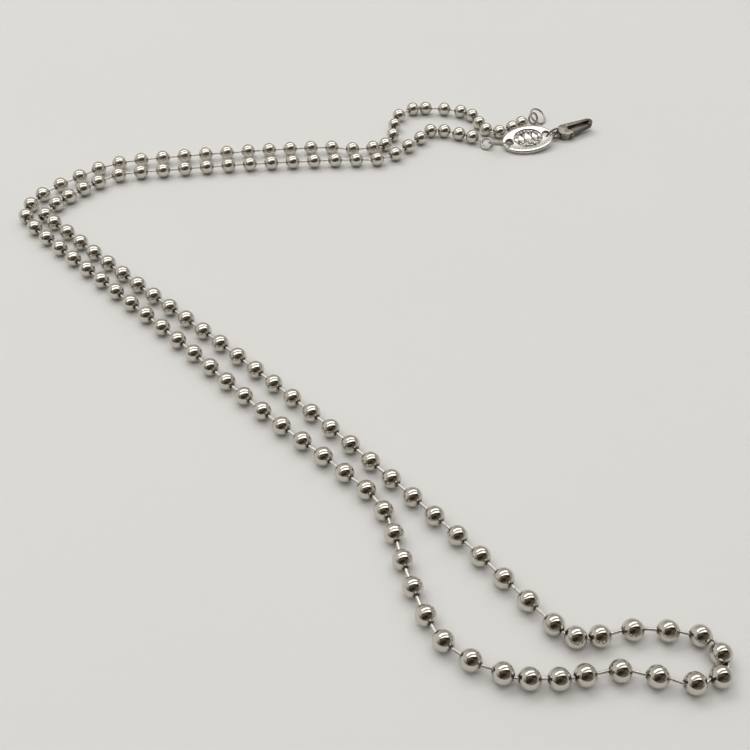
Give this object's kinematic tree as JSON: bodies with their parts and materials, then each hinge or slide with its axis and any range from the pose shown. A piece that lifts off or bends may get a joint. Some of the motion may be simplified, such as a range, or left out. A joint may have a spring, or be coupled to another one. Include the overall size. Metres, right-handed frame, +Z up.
{
  "type": "ball chain necklace",
  "caption": "Unfastened ball chain necklace lying flat in a doubled curve, with a lobster clasp and an oval tag at one end and a plain ring at the other.",
  "frame": {"origin": "middle of the outline, on the surface that the necklace lies on", "axes": "+X to the right and +Y away from the viewer, as it lies in the picture, +Z up"},
  "size_m": [0.1202, 0.1492, 0.0035],
  "materials": {
    "silver": "polished silver",
    "tag_silver": "polished silver, darkened in its sunk field",
    "dark_metal": "dark, satin, worn bright on the edges"
  },
  "bodies": {
    "necklace": {"balls": "silver", "pins": "silver", "tag_eye_pin": "silver", "tag_ring": "silver", "tag": "tag_silver", "clasp_ring": "dark_metal", "clasp_body": "dark_metal", "clasp_rivet": "dark_metal", "end_eye_pin": "silver", "end_ring": "silver"},
    "lever": {"clasp_lever": "dark_metal"}
  },
  "joints": [
    {"name": "lever_hinge", "type": "hinge", "parent": "necklace", "child": "lever", "pos_m": [0.05423, 0.06384, 0.00107], "axis": [-0.0038, -0.1553, 0.9879], "range_deg": [0, 8], "stiffness_Nm_per_rad": 0.02, "springref_deg": -11.46}
  ]
}
